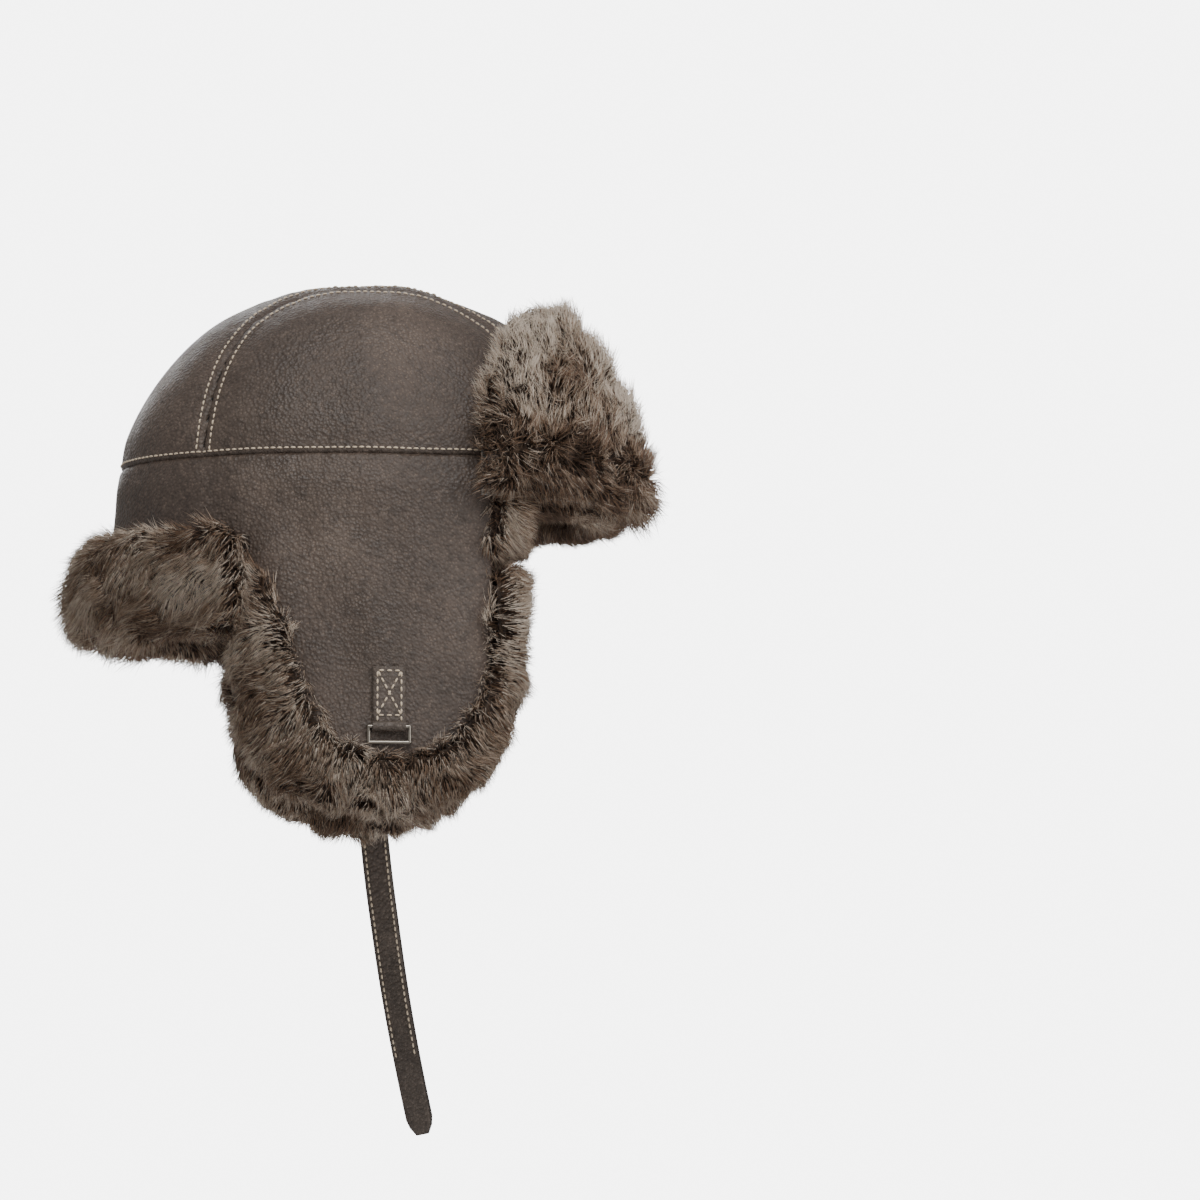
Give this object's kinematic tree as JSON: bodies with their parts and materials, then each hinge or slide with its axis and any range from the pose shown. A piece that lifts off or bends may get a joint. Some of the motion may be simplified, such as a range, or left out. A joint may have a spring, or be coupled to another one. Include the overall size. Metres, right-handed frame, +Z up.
{
  "type": "trapper hat",
  "caption": "Brown leather trapper hat with a raised fur visor, fur-trimmed fold-up ear flaps, a neck fur roll and a hanging chin strap.",
  "frame": {"origin": "middle of the head opening, level with the forehead edge", "axes": "+Z up as worn, -Y to the front, +X to the wearer's left"},
  "size_m": [0.1998, 0.2938, 0.432],
  "materials": {
    "leather": "satin",
    "strap_leather": "satin",
    "fur": "matte",
    "lining": "satin",
    "wadding": "matte",
    "sweatband": "matte",
    "stiffener": "matte",
    "label": "satin",
    "tweed": "matte",
    "thread": "matte",
    "ring_metal": "satin"
  },
  "bodies": {
    "root": {"crown_center_panel": "leather", "crown_side_panel_right": "leather", "crown_side_panel_left": "leather", "band_panel_right": "leather", "band_panel_left": "leather", "forehead_panel": "leather", "crown_wadding": "wadding", "crown_lining": "lining", "sweatband": "sweatband", "size_label": "label", "neck_fur_lining": "fur", "neck_fur_trim": "fur", "temple_fur_right": "fur", "temple_fur_left": "fur", "tweed_patch_upper": "tweed"},
    "visor": {"visor_shell": "leather", "visor_stiffener": "stiffener", "visor_fur": "fur"},
    "ear_flap_right": {"flap_shell_right": "leather", "flap_wadding_right": "wadding", "flap_fur_lining_right": "fur", "flap_fur_trim_right": "fur", "ring_tab_right": "strap_leather"},
    "tab_ring_body": {"tab_ring": "ring_metal"},
    "ear_flap_left": {"flap_shell_left": "leather", "flap_wadding_left": "wadding", "flap_fur_lining_left": "fur", "flap_fur_trim_left": "fur", "strap_anchor_left": "strap_leather", "tweed_patch_lower": "tweed", "chin_strap": "strap_leather"}
  },
  "joints": [
    {"name": "visor_fold", "type": "hinge", "parent": "root", "child": "visor", "pos_m": [0, -0.1275, 0], "axis": [1, 0, 0], "range_deg": [0, 95]},
    {"name": "ear_flap_right_fold", "type": "hinge", "parent": "root", "child": "ear_flap_right", "pos_m": [-0.087, 0, -0.02725], "axis": [0, 1, 0], "range_deg": [-10, 150]},
    {"name": "ear_flap_left_fold", "type": "hinge", "parent": "root", "child": "ear_flap_left", "pos_m": [0.087, 0, -0.02725], "axis": [0, -1, 0], "range_deg": [-10, 150]},
    {"name": "tab_ring_swing", "type": "hinge", "parent": "ear_flap_right", "child": "tab_ring_body", "pos_m": [-0.0917, -0.008, -0.1155], "axis": [0, 1, 0], "range_deg": [0, 120]}
  ]
}
